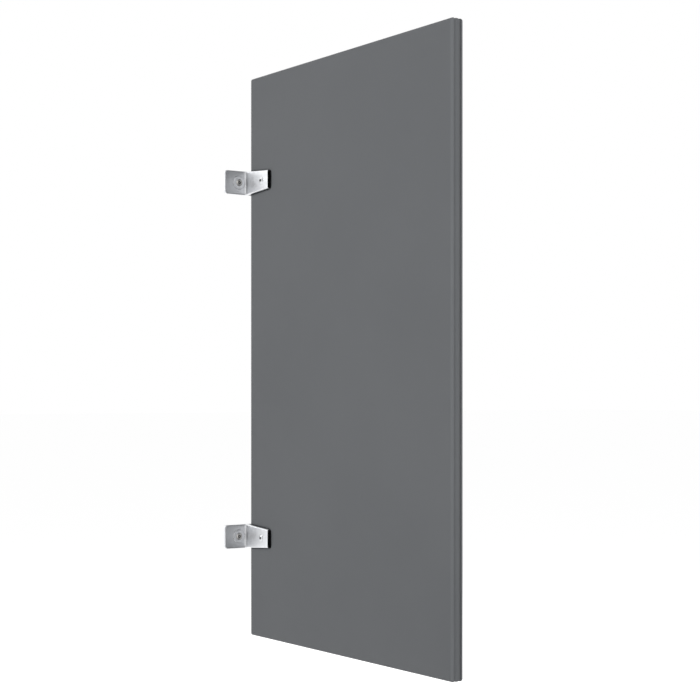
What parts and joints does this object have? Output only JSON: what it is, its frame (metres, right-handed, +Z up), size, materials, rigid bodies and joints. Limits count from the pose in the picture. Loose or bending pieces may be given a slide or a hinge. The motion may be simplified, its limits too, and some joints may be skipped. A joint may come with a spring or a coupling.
{
  "type": "urinal privacy screen",
  "caption": "Flat steel-faced honeycomb panel with rolled edges, held square to a wall by two chrome-plated double-ear brackets",
  "frame": {"origin": "On the wall's surface, in the middle of the four wall screws, which is also the middle of the panel's thickness", "axes": "+Z up, +Y into the wall, so the panel stands out along -Y; X across the panel's thickness. The panel's left face, which the picture shows, looks along -X"},
  "size_m": [0.132, 0.6576, 1.0668],
  "materials": {
    "panel_paint": "fine low-sheen grey powder coat",
    "core_paper": "raw kraft paper",
    "zinc_coated_steel": "zinc-coated mill finish",
    "bracket_chrome": "bright chrome plate on a zinc casting",
    "stainless_steel": "satin stainless"
  },
  "bodies": {
    "root": {"face_sheet_left": "panel_paint", "face_sheet_right": "panel_paint", "honeycomb_core": "core_paper", "edge_strip_wall": "panel_paint", "edge_strip_front": "panel_paint", "edge_strip_bottom": "panel_paint", "edge_strip_top": "panel_paint", "backing_channel_upper": "zinc_coated_steel", "backing_channel_lower": "zinc_coated_steel", "wall_bracket_upper": "bracket_chrome", "wall_bracket_lower": "bracket_chrome", "through_bolt_upper": "bracket_chrome", "through_bolt_lower": "bracket_chrome", "barrel_nut_upper": "bracket_chrome", "barrel_nut_lower": "bracket_chrome", "wall_screw_upper_left": "stainless_steel", "wall_screw_upper_right": "stainless_steel", "wall_screw_lower_left": "stainless_steel", "wall_screw_lower_right": "stainless_steel"}
  },
  "joints": []
}
